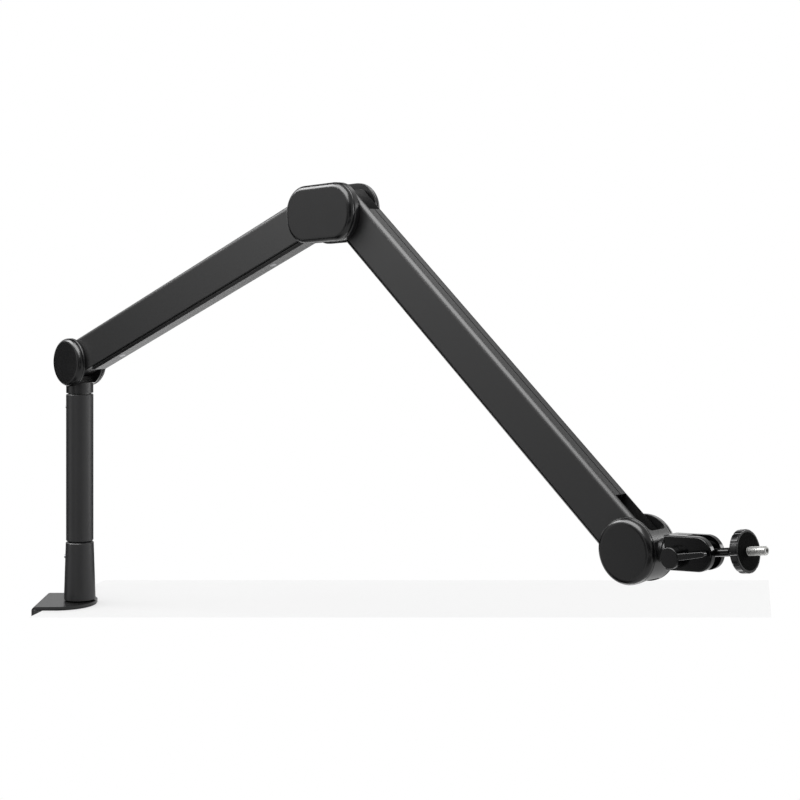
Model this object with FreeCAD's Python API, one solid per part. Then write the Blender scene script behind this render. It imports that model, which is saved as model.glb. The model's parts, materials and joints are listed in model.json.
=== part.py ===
import FreeCAD, Part
import math
import os

# Microphone boom arm with a C-clamp, riser, two hinged arms and a ball mount, in millimetres.
# +Z is up, +X runs inwards from the edge that the clamp grips, +Y runs along that edge.
# The origin is on the riser's axis, at the surface that the clamp's top pad rests on.
# Hinged pieces are drawn in the arm's own plane, with Y along the hinge pins, and then set in place.

# Pose at rest, in degrees
arm_yaw = 44.0
lower_arm_tilt = 21.8
elbow_tilt = 3.0
upper_arm_tilt = -40.2
socket_tilt = 4.0
stem_tilt = 8.8
lever_angle = 8.0

# Fits and cuts
run_fit = 0.05
seat_fit = 0.03
face_fit = 0.2
overrun = 2.0
pick_tolerance = 0.0001

# Clamp frame, bent from one steel strap
strap_thickness = 2.8
strap_inner_radius = 1.0
plate_width = 71.0
plate_back = 41.0
plate_front = 17.4
top_pad_thickness = 0.8
top_pad_margin = 0.6
throat_height = 62.0
jaw_width = 46.0
back_full_height = 14.0
back_taper_height = 30.0
screw_back = 6.0

# Clamp screw, its nut, pressure pad and knob
screw_radius = 5.0
jaw_nut_radius = 9.0
jaw_nut_height = 14.0
jaw_nut_spigot_radius = 7.0
grip_at_rest = 30.0
pad_rise = 18.0
pad_drop = 20.0
grip_pad_radius = 16.0
grip_pad_thickness = 1.5
disc_radius = 17.0
disc_thickness = 4.0
disc_roof = 1.2
disc_boss_radius = 8.0
disc_boss_height = 6.0
disc_web = 5.0
screw_neck_radius = 3.5
clip_radius = 5.0
clip_thickness = 1.0
neck_tip = 0.8
knob_radius = 18.0
knob_height = 16.0
knob_edge = 1.2
knob_margin = 1.2
knob_seat = 12.0
knob_scallop_radius = 7.0
knob_scallop_depth = 3.0
knob_scallops = 6

# Riser: collar, tube, plug and swivel
collar_bottom_radius = 15.8
collar_top_radius = 13.9
collar_height = 58.9
collar_bore_depth = 38.0
collar_edge = 0.7
collar_foot_height = 1.5
collar_foot_inset = 1.6
collar_screw_circle = 10.0
collar_screw_radius = 2.0
collar_screw_head_radius = 3.8
collar_screw_head_height = 1.8
collar_screw_length = 14.0
collar_screws_count = 3
reveal_height = 1.3
reveal_radius = 11.4
tube_radius = 13.6
tube_wall = 3.0
tube_height = 148.0
tube_edge = 0.7
plug_radius = 10.0
plug_grip = 30.0
bush_length = 36.0
swivel_radius = 7.0
swivel_roof = 1.7
swivel_washer_radius = 9.8
swivel_washer_thickness = 1.5
swivel_screw_radius = 2.5
swivel_screw_grip = 14.0
swivel_screw_head_radius = 4.5
swivel_screw_head_height = 3.0
collar_grub_radius = 2.0
collar_grub_height = 47.8
collar_grub_proud = 0.9
tube_grub_radius = 1.5
tube_grub_drop = 13.0
tube_grub_proud = 0.5
grub_key_share = 0.5

# Hinge drums and their caps
neck_height = 7.0
drum_radius = 24.1
neck_radius = 13.5
cheek_thickness = 2.2
cheek_edge = 1.1
cap_round = 4.6
cap_skirt = 0.6
cap_face_wall = 1.2
cap_pocket_radius = 13.0
cap_seam = 0.35
peg_radius = 1.5
peg_floor = 0.7
peg_circle = 18.0
bridge_clearance = 0.5

# Hinge pins, nuts, bushes and friction washers
pin_radius = 4.0
pin_head_radius = 7.0
pin_head_height = 2.6
pin_key_radius = 2.6
pin_key_depth = 1.6
nut_radius = 7.2
nut_height = 2.6
nut_sides = 6
bush_radius = 6.0
washer_radius = 12.0
washer_thickness = 0.6

# Arms: the same extrusion at two lengths
lower_arm_length = 378.9
upper_arm_length = 387.2
arm_width = 18.6
arm_top = 19.9
arm_bottom = 18.4
arm_wall = 3.0
arm_top_round = 4.6
arm_foot_round = 1.0
keel_groove = 1.2
keel_groove_depth = 2.2
keel_lip = 0.2
keel_slope = 2.0
keel_inset = 0.8
keel_gap_shoulder = 28.0
keel_gap_head = 20.0
keel_gap_elbow = 12.0
channel_depth = 9.0
channel_floor = 1.8
cover_thickness = 1.6
cover_leg = 1.2
cover_recess = 0.4
cover_groove_width = 1.0
cover_groove_depth = 0.4
cover_gap_elbow = 20.5
cover_gap_drum = 36.0
block_length = 80.0
block_screw_reach = 70.0
block_screw_radius = 1.5
block_screw_head_radius = 3.0
block_screw_head_height = 1.6
block_screw_length = 12.0

# Elbow link
elbow_spacing = 40.5
elbow_end = 20.0
elbow_height = 49.4
elbow_corner = 22.4
elbow_near_extra = 3.4
elbow_near_edge = 1.8
elbow_post_width = 5.0
elbow_post_inner = 16.5
elbow_post_margin = 2.1
elbow_pocket_end = 10.5
elbow_pocket_margin = 9.5

# Head yoke and ball socket
head_bridge_top_angle = 38.0
head_bridge_bottom_angle = -60.0
head_bridge_corner = 3.5
boss_radius = 9.0
boss_reach = 26.5
boss_sink = 4.0
socket_bolt_radius = 3.0
socket_bolt_head_radius = 5.0
socket_bolt_head_height = 2.4
socket_bolt_grip = 5.0
neck_washer_radius = 8.0
neck_washer_thickness = 3.0
ball_reach = 56.4
ball_radius = 8.0
socket_height = 24.5
socket_thickness = 18.0
socket_edge = 1.2
slit_start = 36.2
slit_width = 1.6
ball_slot_start = 46.0
ball_slot_width = 8.6
lever_reach = 38.5
lever_drop = 2.5
lever_screw_radius = 2.5
jaw_hex_radius = 4.6
jaw_hex_height = 3.4
jaw_boss_radius = 8.3
jaw_boss_height = 1.2

# Lock lever
hub_radius = 7.6
hub_height = 6.2
hub_edge = 0.8
lever_length = 29.0
lever_root_width = 5.4
lever_tip_width = 3.8
lever_thickness = 4.0
lever_inset = 0.5
lever_edge = 0.6
lever_screw_sink = 5.0

# Stem, microphone stud and lock wheel, measured along the stem from the ball's centre
stem_radius = 3.1
stem_pin_radius = 2.6
stem_pin_start = 1.5
flare_start = 22.0
flare_radius = 6.8
flare_length = 5.0
wheel_start = 30.9
wheel_thickness = 6.0
wheel_radius = 15.0
wheel_edge = 0.8
wheel_notches = 12
wheel_notch_radius = 1.4
wheel_notch_depth = 0.7
facing_radius = 13.0
facing_thickness = 0.8
facing_proud = 0.2
stud_radius = 3.175
stud_length = 14.5
stud_edge = 0.7
stud_grip = 5.0
stud_relief_radius = 2.85
stud_relief_length = 0.8
stud_dimple_radius = 1.5
stud_dimple_depth = 1.2

ORIGIN = FreeCAD.Vector(0, 0, 0)
X_AXIS = FreeCAD.Vector(1, 0, 0)
Y_AXIS = FreeCAD.Vector(0, 1, 0)
Z_AXIS = FreeCAD.Vector(0, 0, 1)
HALF_TURN = 180.0
QUARTER_TURN = 90.0

# Levels that several pieces share
plate_under = top_pad_thickness
plate_top = plate_under + strap_thickness
strap_outer_radius = strap_inner_radius + strap_thickness
jaw_top = -throat_height
jaw_under = jaw_top - strap_thickness
jaw_nut_under = jaw_under - jaw_nut_height
grip_top = -grip_at_rest
disc_top = grip_top - grip_pad_thickness
disc_under = disc_top - disc_thickness
disc_boss_under = disc_under - disc_boss_height
disc_web_top = disc_boss_under + disc_web
knob_top = jaw_nut_under - pad_rise - knob_margin
collar_top = plate_top + collar_height
tube_bottom = collar_top + reveal_height
tube_top = tube_bottom + tube_height
neck_bottom = tube_top + reveal_height
shoulder_rise = neck_height + drum_radius
shoulder_height = neck_bottom + shoulder_rise
tube_bore = tube_radius - tube_wall
bush_bottom = tube_top - bush_length
swivel_bottom = bush_bottom - face_fit

# Layers across a hinge, from the arm's mid-plane outwards
arm_side = arm_width / 2
cheek_inner = arm_side + washer_thickness
cheek_outer = cheek_inner + cheek_thickness
cap_outer = cheek_outer + cap_skirt + cap_round
cap_inside = cap_outer - cap_face_wall
peg_length = cheek_thickness - peg_floor - face_fit

# Section of an arm about the line through its hinge pins
arm_end_radius = (arm_top + arm_bottom) / 2
cell_side = arm_side - arm_wall
channel_bottom = arm_top - channel_depth
cell_top = channel_bottom - channel_floor
keel_top = keel_slope + keel_lip - arm_bottom
shell_bottom = -keel_top - keel_groove
cell_bottom = arm_wall - shell_bottom
keel_side = arm_side - keel_inset
bridge_radius = arm_top + bridge_clearance
swivel_seat = shoulder_rise - bridge_radius - swivel_roof

# Elbow link, out past both pins
elbow_length = elbow_spacing + 2 * elbow_end

# Ball socket
socket_side = socket_thickness / 2
socket_half = socket_height / 2
washer_end = boss_reach + neck_washer_thickness


def along(start, length, pitch):
    """The point in the arm's plane that lies at this length and pitch from another."""
    turn = math.radians(pitch)
    return start + FreeCAD.Vector(length * math.cos(turn), 0, length * math.sin(turn))


# Hinge and ball centres in the arm's plane at rest
shoulder = FreeCAD.Vector(0, 0, shoulder_height)
elbow_low = along(shoulder, lower_arm_length, lower_arm_tilt)
elbow_middle = along(elbow_low, elbow_spacing / 2, elbow_tilt)
elbow_high = along(elbow_low, elbow_spacing, elbow_tilt)
head = along(elbow_high, upper_arm_length, upper_arm_tilt)
ball_centre = along(head, ball_reach, socket_tilt)


def set_in_arm(shape, pitch, point):
    """Turn a piece drawn about the origin to its pitch, carry it to its point and swing the arm's yaw."""
    placed = shape.copy()
    placed.rotate(ORIGIN, Y_AXIS, -pitch)
    placed.translate(point)
    placed.rotate(ORIGIN, Z_AXIS, -arm_yaw)
    return placed


def in_arm_plane(point):
    """The row-frame place of a point in the arm's plane at rest."""
    return FreeCAD.Rotation(Z_AXIS, -arm_yaw).multVec(point)


def block(x_range, y_range, z_range):
    corner = FreeCAD.Vector(x_range[0], y_range[0], z_range[0])
    size = [high - low for low, high in (x_range, y_range, z_range)]
    return Part.makeBox(size[0], size[1], size[2], corner)


def rod(radius, start, end, axis, offset=ORIGIN):
    """A cylinder along an axis through offset, between two places on that axis."""
    return Part.makeCylinder(radius, end - start, offset + axis * start, axis)


def taper(first_radius, last_radius, start, end, axis, offset=ORIGIN):
    return Part.makeCone(first_radius, last_radius, end - start, offset + axis * start, axis)


def ring(outer, inner, start, end, axis, offset=ORIGIN):
    bore = rod(inner, start - overrun, end + overrun, axis, offset)
    return rod(outer, start, end, axis, offset).cut(bore)


def regular_prism(radius, sides, start, end, offset=ORIGIN):
    """A prism with flat sides along Y, such as a hexagonal nut."""
    step = math.tau / sides
    corners = []
    for side in range(sides + 1):
        reach = FreeCAD.Vector(math.cos(side * step), 0, math.sin(side * step)) * radius
        corners.append(offset + Y_AXIS * start + reach)
    return Part.Face(Part.makePolygon(corners)).extrude(Y_AXIS * (end - start))


def polar(centre, radius, angle):
    turn = math.radians(angle)
    return centre + FreeCAD.Vector(math.cos(turn), 0, math.sin(turn)) * radius


def arc(centre, radius, first_angle, last_angle):
    """An arc in the XZ plane about a centre."""
    middle_angle = (first_angle + last_angle) / 2
    angles = (first_angle, middle_angle, last_angle)
    return Part.Arc(*[polar(centre, radius, angle) for angle in angles]).toShape()


def line(start, end):
    return Part.makeLine(start, end)


def slab(edges, start, end):
    """A closed outline in the XZ plane, given thickness along Y."""
    face = Part.Face(Part.Wire(edges))
    face.translate(Y_AXIS * start)
    return face.extrude(Y_AXIS * (end - start))


def rounded_slab(length, height, corner, start, end):
    """A rounded rectangle about the origin in the XZ plane, given thickness along Y."""
    reach = length / 2 - corner
    rise = height / 2 - corner
    centres = [(reach, rise), (-reach, rise), (-reach, -rise), (reach, -rise)]
    edges = []
    for quarter, (x, z) in enumerate(centres):
        first = quarter * QUARTER_TURN
        edges.append(arc(FreeCAD.Vector(x, 0, z), corner, first, first + QUARTER_TURN))
    for quarter in range(len(centres)):
        following = edges[(quarter + 1) % len(centres)]
        edges.append(line(edges[quarter].Vertexes[-1].Point, following.Vertexes[0].Point))
    return slab(Part.__sortEdges__(edges), start, end)


def edges_at(shape, axis, place):
    """The edges that lie whole in the plane across an axis at this place."""
    def lies_there(edge):
        ends = edge.discretize(5)
        return all(abs(point.dot(axis) - place) < pick_tolerance for point in ends)
    return [edge for edge in shape.Edges if lies_there(edge)]


def edges_through(shape, corner):
    """The edges that run from the origin to a corner of the XZ plane, one on each side."""
    def runs_there(edge):
        ends = [FreeCAD.Vector(vertex.X, 0, vertex.Z) for vertex in edge.Vertexes]
        found = [min(end.distanceToPoint(goal) for end in ends) for goal in (ORIGIN, corner)]
        return len(ends) == 2 and max(found) < pick_tolerance
    return [edge for edge in shape.Edges if runs_there(edge)]


def mirrored(shape):
    """The far-side copy of a near-side piece, across the arm's mid-plane."""
    return shape.mirror(ORIGIN, Y_AXIS)


def nearer(shape, distance):
    """A copy moved out along the hinge pins, towards the near side."""
    moved = shape.copy()
    moved.translate(Y_AXIS * -distance)
    return moved


def countersunk(head_radius, shank_radius, head_height, length, axis, offset, grow=0.0):
    """A flat-headed screw whose head starts at offset, or its hole when grow is a clearance."""
    head = taper(head_radius + grow, shank_radius + grow, 0, head_height, axis, offset)
    return head.fuse(rod(shank_radius + grow, 0, length + grow, axis, offset)).removeSplitter()


# Clamp

def strap_back():
    """The clamp's back plate with its two bends, drawn from the side."""
    back = -plate_back
    join = back + strap_outer_radius
    upper = FreeCAD.Vector(join, 0, plate_top - strap_outer_radius)
    lower = FreeCAD.Vector(join, 0, jaw_under + strap_outer_radius)
    downwards = 3 * QUARTER_TURN
    edges = [
        arc(upper, strap_outer_radius, QUARTER_TURN, HALF_TURN),
        line(polar(upper, strap_outer_radius, HALF_TURN), polar(lower, strap_outer_radius, HALF_TURN)),
        arc(lower, strap_outer_radius, HALF_TURN, downwards),
        line(polar(lower, strap_outer_radius, downwards), polar(lower, strap_inner_radius, downwards)),
        arc(lower, strap_inner_radius, downwards, HALF_TURN),
        line(polar(lower, strap_inner_radius, HALF_TURN), polar(upper, strap_inner_radius, HALF_TURN)),
        arc(upper, strap_inner_radius, HALF_TURN, QUARTER_TURN),
        line(polar(upper, strap_inner_radius, QUARTER_TURN), polar(upper, strap_outer_radius, QUARTER_TURN)),
    ]
    strip = slab(edges, -plate_width / 2, plate_width / 2)
    shoulder_level = plate_top - back_full_height
    waist_level = shoulder_level - back_taper_height
    outline = []
    for side in (1, -1):
        half = [
            (plate_width / 2, plate_top + overrun),
            (plate_width / 2, shoulder_level),
            (jaw_width / 2, waist_level),
            (jaw_width / 2, jaw_under - overrun),
        ]
        points = [FreeCAD.Vector(back - overrun, side * y, z) for y, z in half]
        outline += points if side == 1 else points[::-1]
    keep = Part.Face(Part.makePolygon(outline + outline[:1]))
    return strip.common(keep.extrude(X_AXIS * (strap_outer_radius + 2 * overrun)))


def tongue_plate(width, start, tip_centre, low, high):
    """A flat plate with one half-round end."""
    half = width / 2
    straight = block((start, tip_centre), (-half, half), (low, high))
    tip = Part.makeCylinder(half, high - low, FreeCAD.Vector(tip_centre, 0, low), Z_AXIS, HALF_TURN)
    tip.rotate(FreeCAD.Vector(tip_centre, 0, low), Z_AXIS, -QUARTER_TURN)
    return straight.fuse(tip).removeSplitter()


def collar_screw_places():
    step = math.tau / collar_screws_count
    turns = [index * step for index in range(collar_screws_count)]
    circle = [FreeCAD.Vector(math.cos(turn), math.sin(turn), 0) for turn in turns]
    return [place * collar_screw_circle + Z_AXIS * plate_under for place in circle]


def collar_screw(place, grow=0.0):
    return countersunk(collar_screw_head_radius, collar_screw_radius, collar_screw_head_height,
                       collar_screw_length, Z_AXIS, place, grow)


def clamp_frame():
    start = strap_outer_radius - plate_back
    top = tongue_plate(plate_width, start, plate_front - plate_width / 2, plate_under, plate_top)
    jaw = tongue_plate(jaw_width, start, -screw_back, jaw_under, jaw_top)
    frame = strap_back().fuse([top, jaw]).removeSplitter()
    for place in collar_screw_places():
        frame = frame.cut(collar_screw(place, seat_fit))
    spigot = rod(jaw_nut_spigot_radius + seat_fit, jaw_under - overrun, jaw_top + overrun,
                 Z_AXIS, screw_axis)
    return frame.cut(spigot)


def top_pad():
    width = plate_width - 2 * top_pad_margin
    start = strap_outer_radius - plate_back
    return tongue_plate(width, start, plate_front - plate_width / 2, 0, plate_under)


screw_axis = X_AXIS * -screw_back


def jaw_nut():
    body = rod(jaw_nut_radius, jaw_nut_under, jaw_under, Z_AXIS, screw_axis)
    spigot = rod(jaw_nut_spigot_radius, jaw_under, jaw_top, Z_AXIS, screw_axis)
    bore = rod(screw_radius + run_fit, jaw_nut_under - overrun, jaw_top + overrun,
               Z_AXIS, screw_axis)
    return body.fuse(spigot).removeSplitter().cut(bore)


def grip_pad():
    return rod(grip_pad_radius, disc_top, grip_top, Z_AXIS, screw_axis)


def pressure_disc():
    """The steel foot that the screw's neck turns in."""
    plate = rod(disc_radius, disc_under, disc_top, Z_AXIS, screw_axis)
    boss = rod(disc_boss_radius, disc_boss_under, disc_under, Z_AXIS, screw_axis)
    cavity = rod(clip_radius + face_fit, disc_web_top, disc_top - disc_roof, Z_AXIS, screw_axis)
    bore = rod(screw_neck_radius + run_fit, disc_boss_under - overrun, disc_web_top + face_fit,
               Z_AXIS, screw_axis)
    return plate.fuse(boss).removeSplitter().cut(cavity.fuse(bore))


clip_bottom = disc_web_top + face_fit
clip_top = clip_bottom + clip_thickness
neck_top = clip_top + neck_tip


def clamp_screw():
    shaft = rod(screw_radius, knob_top - knob_seat, disc_boss_under, Z_AXIS, screw_axis)
    neck = rod(screw_neck_radius, disc_boss_under, neck_top, Z_AXIS, screw_axis)
    return shaft.fuse(neck).removeSplitter()


def retaining_clip():
    return ring(clip_radius, screw_neck_radius + seat_fit, clip_bottom, clip_top,
                Z_AXIS, screw_axis)


def clamp_knob():
    bottom = knob_top - knob_height
    knob = rod(knob_radius, bottom, knob_top, Z_AXIS, screw_axis)
    reach = knob_radius + knob_scallop_radius - knob_scallop_depth
    for index in range(knob_scallops):
        turn = index * math.tau / knob_scallops
        centre = screw_axis + FreeCAD.Vector(math.cos(turn), math.sin(turn), 0) * reach
        knob = knob.cut(rod(knob_scallop_radius, bottom - overrun, knob_top + overrun,
                            Z_AXIS, centre))
    rims = edges_at(knob, Z_AXIS, bottom) + edges_at(knob, Z_AXIS, knob_top)
    knob = knob.makeFillet(knob_edge, rims)
    seat = rod(screw_radius + seat_fit, knob_top - knob_seat - seat_fit, knob_top + overrun,
               Z_AXIS, screw_axis)
    return knob.cut(seat)


# Riser

def grub_screw(radius, inner, outer, level, grow=0.0):
    """A grub screw that points in from the clamp's back, with a key recess in its outer end."""
    axis = -X_AXIS
    offset = Z_AXIS * level
    screw = rod(radius + grow, inner, outer, axis, offset)
    if grow:
        return screw
    recess = radius * grub_key_share
    return screw.cut(rod(recess, outer - recess, outer + overrun, axis, offset))


def collar_radius_at(level):
    drop = (collar_bottom_radius - collar_top_radius) * (level - plate_top) / collar_height
    return collar_bottom_radius - drop


collar_grub_end = collar_radius_at(collar_grub_height) + collar_grub_proud
tube_grub_level = tube_top - tube_grub_drop
tube_grub_end = tube_radius + tube_grub_proud


def base_collar():
    """The tapered collar on the plate, set in at its foot so that a dark line shows there."""
    collar = taper(collar_bottom_radius, collar_top_radius, plate_top, collar_top, Z_AXIS)
    collar = collar.makeChamfer(collar_edge, edges_at(collar, Z_AXIS, collar_top))
    bore = rod(plug_radius + seat_fit, collar_top - collar_bore_depth, collar_top + overrun,
               Z_AXIS)
    reveal = ring(collar_bottom_radius + overrun, collar_bottom_radius - collar_foot_inset,
                  plate_top - overrun, plate_top + collar_foot_height, Z_AXIS)
    collar = collar.cut([bore, reveal])
    for place in collar_screw_places():
        collar = collar.cut(collar_screw(place, seat_fit))
    hole = grub_screw(collar_grub_radius, 0, collar_grub_end + overrun, collar_grub_height,
                      seat_fit)
    return collar.cut(hole)


def riser_plug():
    """The spigot that joins tube and collar, with a thin flange that shows as a dark seam."""
    lower = rod(plug_radius, collar_top - collar_bore_depth + face_fit, collar_top, Z_AXIS)
    flange = rod(reveal_radius, collar_top, tube_bottom, Z_AXIS)
    upper = rod(tube_bore - seat_fit, tube_bottom, tube_bottom + plug_grip, Z_AXIS)
    return lower.fuse([flange, upper]).removeSplitter()


def riser_tube():
    tube = rod(tube_radius, tube_bottom, tube_top, Z_AXIS)
    rims = edges_at(tube, Z_AXIS, tube_bottom) + edges_at(tube, Z_AXIS, tube_top)
    tube = tube.makeChamfer(tube_edge, rims)
    bore = rod(tube_bore, tube_bottom - overrun, tube_top + overrun, Z_AXIS)
    hole = grub_screw(tube_grub_radius, 0, tube_grub_end + overrun, tube_grub_level, seat_fit)
    return tube.cut(bore).cut(hole)


def swivel_bush():
    sleeve = rod(tube_bore - seat_fit, bush_bottom, tube_top, Z_AXIS)
    flange = rod(reveal_radius, tube_top, neck_bottom, Z_AXIS)
    bore = rod(swivel_radius + run_fit, bush_bottom - overrun, neck_bottom + overrun, Z_AXIS)
    return sleeve.fuse(flange).removeSplitter().cut(bore)


def swivel_pin():
    pin = rod(swivel_radius, swivel_bottom, neck_bottom + swivel_seat, Z_AXIS)
    thread = rod(swivel_screw_radius + seat_fit, swivel_bottom - overrun,
                 swivel_bottom + swivel_screw_grip + face_fit, Z_AXIS)
    return pin.cut(thread)


def swivel_washer():
    return ring(swivel_washer_radius, swivel_screw_radius + seat_fit,
                swivel_bottom - swivel_washer_thickness, swivel_bottom, Z_AXIS)


def swivel_screw():
    seat = swivel_bottom - swivel_washer_thickness
    shank = rod(swivel_screw_radius, seat, swivel_bottom + swivel_screw_grip, Z_AXIS)
    cap = rod(swivel_screw_head_radius, seat - swivel_screw_head_height, seat, Z_AXIS)
    return shank.fuse(cap).removeSplitter()


# Hinge drums

def peg_places(centre_line):
    return [centre_line * peg_circle, centre_line * -peg_circle]


def peg_holes(centre_line, near_extra=0.0):
    """Blind holes in both cheeks for the caps' pegs."""
    floor = cheek_outer - peg_length - face_fit
    holes = [rod(peg_radius + seat_fit, floor, cheek_outer + overrun, Y_AXIS, place)
             for place in peg_places(centre_line)]
    return holes + [nearer(mirrored(hole), near_extra) for hole in holes]


def cheek_rims(shape):
    """The outer rims of both cheeks, where the caps meet them."""
    return side_rims(shape, cheek_outer)


def far_cap(blank, pocket, centre_line):
    """A rounded cover over a hinge, with a pocket for the pin's end and two pegs."""
    cap = blank.makeFillet(cap_round, edges_at(blank, Y_AXIS, cap_outer))
    cap = cap.makeChamfer(cap_seam, edges_at(cap, Y_AXIS, cheek_outer))
    cap = cap.cut(pocket)
    pegs = [rod(peg_radius, cheek_outer - peg_length, cheek_outer, Y_AXIS, place)
            for place in peg_places(centre_line)]
    return cap.fuse(pegs).removeSplitter()


def drum_cap():
    blank = rod(drum_radius, cheek_outer, cap_outer, Y_AXIS)
    pocket = rod(cap_pocket_radius, cheek_outer - overrun, cap_inside, Y_AXIS)
    return far_cap(blank, pocket, X_AXIS)


def drum_blank():
    drum = rod(drum_radius, -cheek_outer, cheek_outer, Y_AXIS)
    return drum.makeFillet(cheek_edge, cheek_rims(drum))


def pin_hole(place=ORIGIN):
    return rod(pin_radius + seat_fit, -cap_outer, cap_outer, Y_AXIS, place)


def hinge_pin(place=ORIGIN, near_extra=0.0):
    """A shoulder bolt whose head lies under the near cap."""
    seat = -cheek_outer - near_extra
    face = seat - pin_head_height
    shank = rod(pin_radius, seat, cheek_outer + nut_height, Y_AXIS, place)
    cap = rod(pin_head_radius, face, seat, Y_AXIS, place)
    key = regular_prism(pin_key_radius, nut_sides, face - overrun, face + pin_key_depth, place)
    return shank.fuse(cap).removeSplitter().cut(key)


def hinge_nut(place=ORIGIN):
    nut = regular_prism(nut_radius, nut_sides, cheek_outer, cheek_outer + nut_height, place)
    return nut.cut(rod(pin_radius + seat_fit, 0, cap_outer, Y_AXIS, place))


def shoulder_yoke():
    """The drum on the riser, slotted from above down to a bridge over its neck."""
    drop = -shoulder_rise
    drum = drum_blank().fuse(rod(neck_radius, drop, 0, Z_AXIS)).removeSplitter()
    reach = drum_radius + overrun
    slot = block((-reach, reach), (-cheek_inner, cheek_inner), (-bridge_radius, reach))
    seat = rod(swivel_radius + seat_fit, drop - overrun, drop + swivel_seat + seat_fit, Z_AXIS)
    cap_room = rod(drum_radius + face_fit, cheek_outer, cap_outer, Y_AXIS)
    cuts = [slot, pin_hole(), seat, cap_room, mirrored(cap_room)]
    return drum.cut(cuts + peg_holes(X_AXIS))


# Arms

def arm_outline(length, bottom, side):
    """A bar with full-round ends about its two hinge pins, seen from the side."""
    radius = (arm_top + bottom) / 2
    start = FreeCAD.Vector(0, 0, arm_top - radius)
    end = start + X_AXIS * length
    back = 3 * QUARTER_TURN
    edges = [
        arc(start, radius, QUARTER_TURN, back),
        line(polar(start, radius, back), polar(end, radius, back)),
        arc(end, radius, -QUARTER_TURN, QUARTER_TURN),
        line(polar(end, radius, QUARTER_TURN), polar(start, radius, QUARTER_TURN)),
    ]
    return slab(edges, -side, side)


def side_rims(shape, side):
    return edges_at(shape, Y_AXIS, side) + edges_at(shape, Y_AXIS, -side)


def arm_ends(length):
    """Both hinge points of an arm, each with the direction that runs into the arm from it."""
    return [(ORIGIN, X_AXIS), (X_AXIS * length, -X_AXIS)]


def block_screw(point, inwards, grow=0.0):
    place = point + inwards * block_screw_reach - Z_AXIS * arm_bottom
    return countersunk(block_screw_head_radius, block_screw_radius, block_screw_head_height,
                       block_screw_length, Z_AXIS, place, grow)


def arm_keel(start, end):
    """The strip along the underside of an arm, with sloped sides, on a web that leaves a groove above it."""
    strip = block((start, end), (-keel_side, keel_side), (-arm_bottom, keel_top))
    strip = strip.makeChamfer(keel_slope, edges_at(strip, Z_AXIS, -arm_bottom))
    web_side = arm_side - keel_groove_depth
    web = block((start, end), (-web_side, web_side), (keel_top, arm_foot_round - shell_bottom))
    return strip.fuse(web).removeSplitter()


def arm_beam(length, keel):
    """A closed box section with an open cable channel on top and a keel below."""
    spare = arm_end_radius + arm_top_round + overrun
    reach = (-spare, length + spare)
    shell = block(reach, (-arm_side, arm_side), (-shell_bottom, arm_top))
    shell = shell.makeFillet(arm_top_round, edges_at(shell, Z_AXIS, arm_top))
    shell = shell.makeFillet(arm_foot_round, edges_at(shell, Z_AXIS, -shell_bottom))
    shell = shell.common(arm_outline(length, shell_bottom, arm_side + overrun))
    bar = shell.fuse(arm_keel(*keel)).removeSplitter()
    across = (-cell_side, cell_side)
    cuts = [block(reach, across, (channel_bottom, arm_top + overrun)),
            block(reach, across, (cell_bottom, cell_top))]
    for point, inwards in arm_ends(length):
        cuts.append(rod(bush_radius + seat_fit, -arm_side - overrun, arm_side + overrun,
                        Y_AXIS, point))
        cuts.append(block_screw(point, inwards, seat_fit))
    return bar.cut(cuts)


def hinge_blocks(length):
    """The solid ends inside the box section that carry the bushes."""
    blocks = []
    profile = arm_outline(length, shell_bottom, arm_side)
    for point, inwards in arm_ends(length):
        ends = (point - inwards * arm_end_radius, point + inwards * block_length)
        reach = sorted(end.x for end in ends)
        body = block(reach, (-cell_side + seat_fit, cell_side - seat_fit),
                     (cell_bottom + seat_fit, cell_top - seat_fit)).common(profile)
        bore = rod(bush_radius + seat_fit, -arm_side, arm_side, Y_AXIS, point)
        blocks.append(body.cut([bore, block_screw(point, inwards, seat_fit)]))
    return Part.makeCompound(blocks)


def hinge_bushes(length):
    return Part.makeCompound([ring(bush_radius, pin_radius + run_fit, -arm_side, arm_side,
                                   Y_AXIS, point) for point, inwards in arm_ends(length)])


def friction_washers(length):
    washers = [ring(washer_radius, pin_radius + run_fit, arm_side, cheek_inner, Y_AXIS, point)
               for point, inwards in arm_ends(length)]
    return Part.makeCompound(washers + [mirrored(washer) for washer in washers])


def block_screws(length):
    return Part.makeCompound([block_screw(point, inwards) for point, inwards in arm_ends(length)])


def channel_cover(start, end):
    """A snap-in strip over the cable channel, standing on two legs."""
    side = cell_side - face_fit
    top = arm_top - cover_recess
    strip = block((start, end), (-side, side), (channel_bottom, top))
    inner = side - cover_leg
    hollow = block((start - overrun, end + overrun), (-inner, inner),
                   (channel_bottom - overrun, top - cover_thickness))
    half_groove = cover_groove_width / 2
    groove = block((start - overrun, end + overrun), (-half_groove, half_groove),
                   (top - cover_groove_depth, top + overrun))
    return strip.cut([hollow, groove])


# Elbow

elbow_pins = [X_AXIS * (-elbow_spacing / 2), X_AXIS * (elbow_spacing / 2)]


def elbow_frame():
    """Two cheeks, the near one thicker, joined by a post above and a post below the pins."""
    far = rounded_slab(elbow_length, elbow_height, elbow_corner, cheek_inner, cheek_outer)
    far = far.makeFillet(cheek_edge, edges_at(far, Y_AXIS, cheek_outer))
    near_face = -cheek_outer - elbow_near_extra
    near = rounded_slab(elbow_length, elbow_height, elbow_corner, near_face, -cheek_inner)
    near = near.makeFillet(elbow_near_edge, edges_at(near, Y_AXIS, near_face))
    half = elbow_post_width / 2
    post_end = elbow_height / 2 - elbow_post_margin
    post = block((-half, half), (-cheek_inner, cheek_inner), (elbow_post_inner, post_end))
    frame = far.fuse([near, post, post.mirror(ORIGIN, Z_AXIS)]).removeSplitter()
    holes = [pin_hole(place) for place in elbow_pins]
    return frame.cut(holes + peg_holes(Z_AXIS, elbow_near_extra))


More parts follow.
